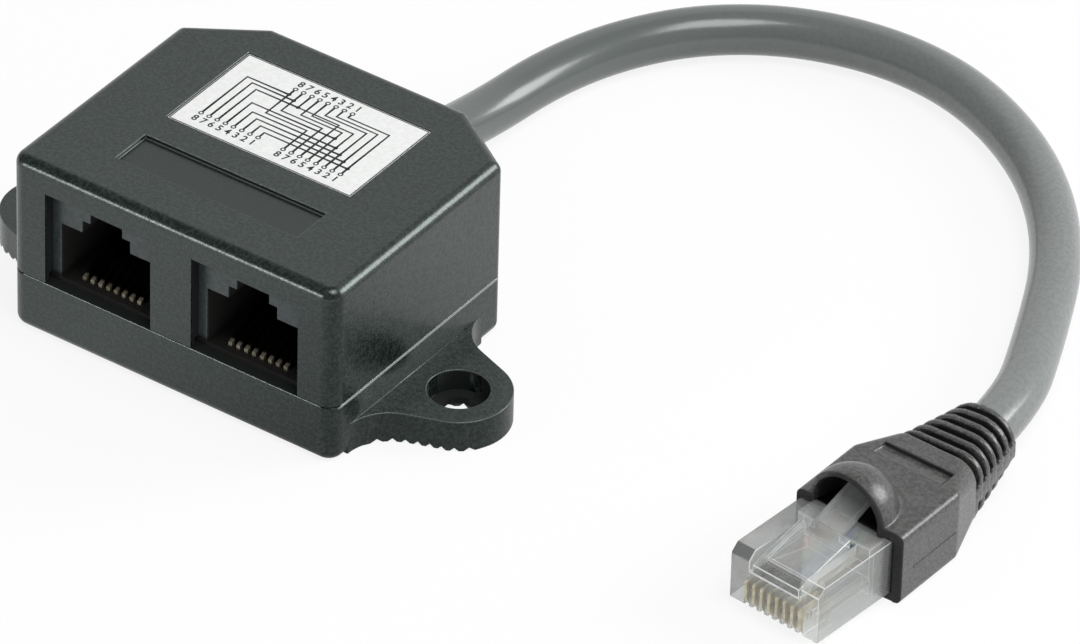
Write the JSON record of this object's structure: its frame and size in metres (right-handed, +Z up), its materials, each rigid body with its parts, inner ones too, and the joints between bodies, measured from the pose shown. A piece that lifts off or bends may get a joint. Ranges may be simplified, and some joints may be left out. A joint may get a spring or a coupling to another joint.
{
  "type": "network socket splitter with cable",
  "caption": "Flat housing with stepped network sockets in its front, screw ears at its sides, and a short round cable that ends in a clear latched plug with a ribbed boot.",
  "frame": {"origin": "middle of the housing's underside, where it stands", "axes": "+Z up, -Y out of the socket side, +X to the right as seen from the socket side; the cable leaves the +Y side"},
  "size_m": [0.1139, 0.0962, 0.022],
  "materials": {
    "housing": "fine spark-eroded texture",
    "socket": "satin",
    "label_paper": "satin film",
    "board": "solder mask",
    "gold_contact": "polished plating",
    "cable_jacket": "satin",
    "tie_nylon": "satin",
    "boot_rubber": "satin",
    "clear_plug": "clear, polished",
    "lead_white_orange": "satin",
    "lead_orange": "satin",
    "lead_white_green": "satin",
    "lead_blue": "satin",
    "lead_white_blue": "satin",
    "lead_green": "satin",
    "lead_white_brown": "satin",
    "lead_brown": "satin"
  },
  "bodies": {
    "root": {"upper_shell": "housing", "lower_shell": "housing", "label": "label_paper", "circuit_board": "board", "left_socket_body": "socket", "left_socket_contact_1": "gold_contact", "left_socket_contact_2": "gold_contact", "left_socket_contact_3": "gold_contact", "left_socket_contact_4": "gold_contact", "left_socket_contact_5": "gold_contact", "left_socket_contact_6": "gold_contact", "left_socket_contact_7": "gold_contact", "left_socket_contact_8": "gold_contact", "right_socket_body": "socket", "right_socket_contact_1": "gold_contact", "right_socket_contact_2": "gold_contact", "right_socket_contact_3": "gold_contact", "right_socket_contact_4": "gold_contact", "right_socket_contact_5": "gold_contact", "right_socket_contact_6": "gold_contact", "right_socket_contact_7": "gold_contact", "right_socket_contact_8": "gold_contact", "cable": "cable_jacket", "cable_tie": "tie_nylon", "board_lead_1": "lead_white_orange", "board_lead_2": "lead_orange", "board_lead_3": "lead_white_green", "board_lead_4": "lead_blue", "board_lead_5": "lead_white_blue", "board_lead_6": "lead_green", "board_lead_7": "lead_white_brown", "board_lead_8": "lead_brown", "plug_body": "clear_plug", "boot": "boot_rubber", "plug_contact_1": "gold_contact", "plug_contact_2": "gold_contact", "plug_contact_3": "gold_contact", "plug_contact_4": "gold_contact", "plug_contact_5": "gold_contact", "plug_contact_6": "gold_contact", "plug_contact_7": "gold_contact", "plug_contact_8": "gold_contact", "plug_lead_1": "lead_white_orange", "plug_lead_2": "lead_orange", "plug_lead_3": "lead_white_green", "plug_lead_4": "lead_blue", "plug_lead_5": "lead_white_blue", "plug_lead_6": "lead_green", "plug_lead_7": "lead_white_brown", "plug_lead_8": "lead_brown"}
  },
  "joints": []
}
